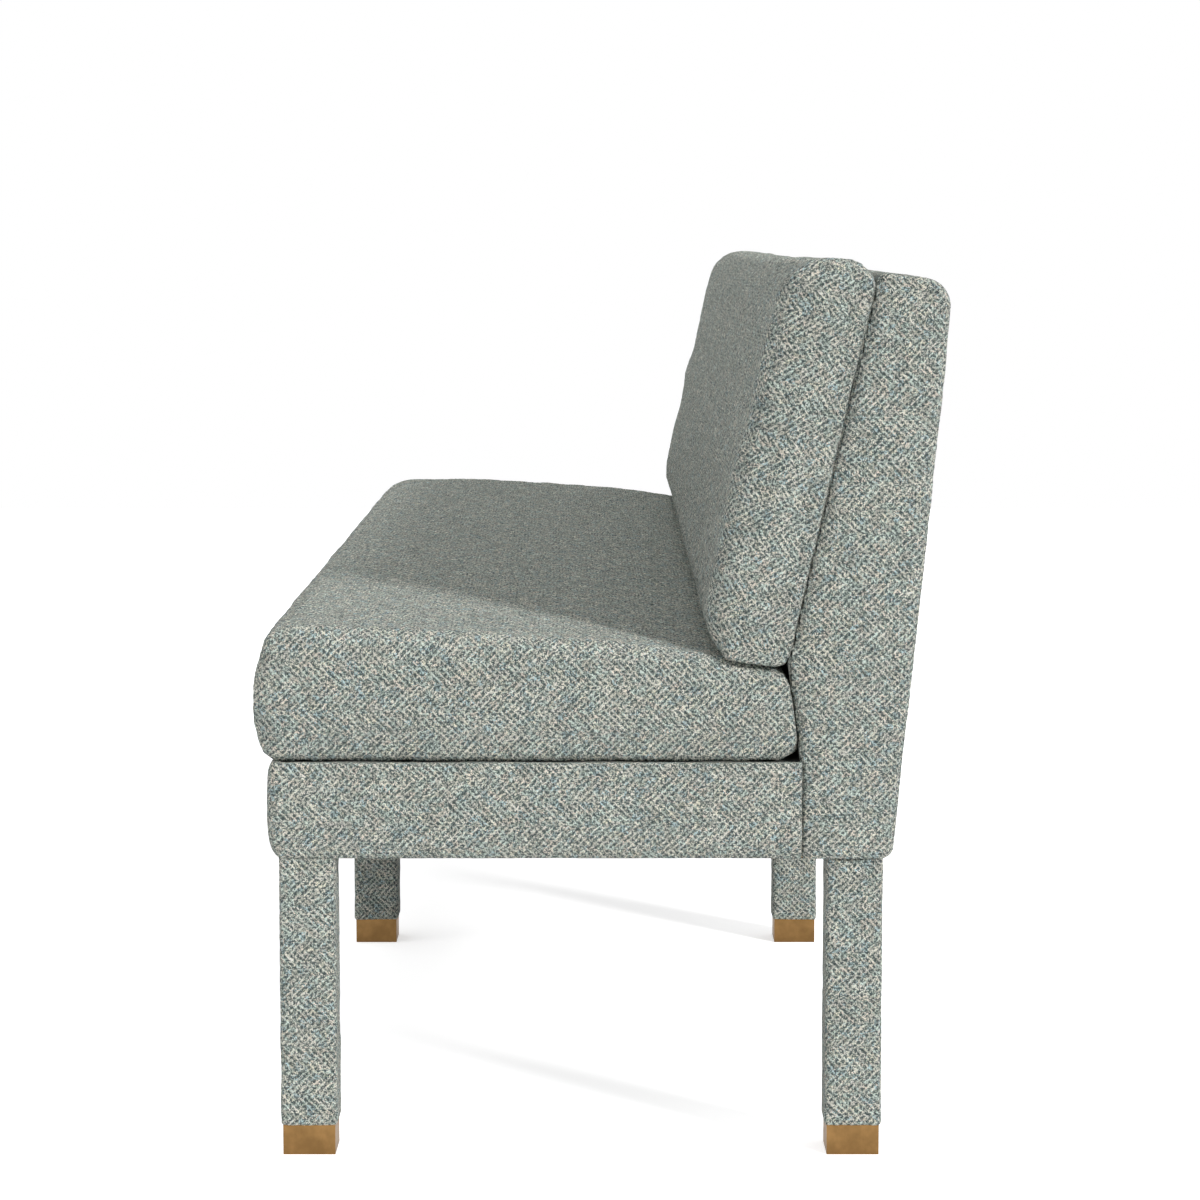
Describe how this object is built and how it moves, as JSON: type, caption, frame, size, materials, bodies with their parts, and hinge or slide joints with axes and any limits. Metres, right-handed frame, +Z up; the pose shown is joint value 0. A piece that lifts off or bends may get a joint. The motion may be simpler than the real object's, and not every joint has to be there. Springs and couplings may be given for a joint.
{
  "type": "banquette",
  "caption": "Upholstered banquette with straight wrapped legs on brass caps, a padded base, a raked back, a loose seat cushion and a loose back cushion.",
  "frame": {"origin": "on the floor, under the middle of the bounding box", "axes": "+X along the length to the right-hand end as seen from the front, +Y from the front to the rear, +Z up"},
  "size_m": [2.134, 0.6823, 0.8925],
  "materials": {
    "cover_fabric": "matte",
    "brass": "satin",
    "hardwood": "matte",
    "steel": "satin",
    "foam": "matte",
    "wadding": "matte",
    "webbing": "matte",
    "felt": "matte",
    "deck_cloth": "matte",
    "dust_cloth": "matte",
    "board": "matte",
    "zip": "matte"
  },
  "bodies": {
    "frame": {"front_left_leg": "hardwood", "front_middle_leg": "hardwood", "front_right_leg": "hardwood", "rear_left_post": "hardwood", "rear_middle_post": "hardwood", "rear_right_post": "hardwood", "front_left_sleeve": "cover_fabric", "front_middle_sleeve": "cover_fabric", "front_right_sleeve": "cover_fabric", "rear_left_sleeve": "cover_fabric", "rear_middle_sleeve": "cover_fabric", "rear_right_sleeve": "cover_fabric", "front_left_cap": "brass", "front_middle_cap": "brass", "front_right_cap": "brass", "rear_left_cap": "brass", "rear_middle_cap": "brass", "rear_right_cap": "brass", "cap_screws": "steel", "front_left_rail": "hardwood", "front_right_rail": "hardwood", "rear_left_rail": "hardwood", "rear_right_rail": "hardwood", "left_end_rail": "hardwood", "right_end_rail": "hardwood", "middle_cross_rail": "hardwood", "quarter_cross_rails": "hardwood", "corner_blocks": "hardwood", "block_bolts": "steel", "quarter_back_posts": "hardwood", "back_top_rails": "hardwood", "back_lower_rails": "hardwood", "back_webbing": "webbing", "seat_webbing": "webbing", "long_seat_webbing": "webbing", "deck_pad": "felt", "deck_cloth": "deck_cloth", "dust_cover": "dust_cloth", "front_apron_padding": "wadding", "left_apron_padding": "wadding", "right_apron_padding": "wadding", "front_apron_cover": "cover_fabric", "left_apron_cover": "cover_fabric", "right_apron_cover": "cover_fabric", "left_back_padding": "wadding", "right_back_padding": "wadding", "left_back_cover": "cover_fabric", "right_back_cover": "cover_fabric", "inside_back_foam": "foam", "top_back_foam": "foam", "inside_back_cover": "cover_fabric", "outside_back_board": "board", "outside_back_wadding": "wadding", "outside_back_cover": "cover_fabric"},
    "seat_cushion": {"seat_cushion_cover": "cover_fabric", "seat_cushion_core": "foam", "seat_cushion_zip": "zip"},
    "back_cushion": {"back_cushion_cover": "cover_fabric", "back_cushion_core": "foam", "back_cushion_zip": "zip"}
  },
  "joints": [
    {"name": "seat_cushion_pull", "type": "slide", "parent": "frame", "child": "seat_cushion", "axis": [0, -1, 0], "range_m": [0, 0.15]},
    {"name": "back_cushion_lift", "type": "slide", "parent": "frame", "child": "back_cushion", "axis": [0, 0.2198, 0.9755], "range_m": [0, 0.3]}
  ]
}
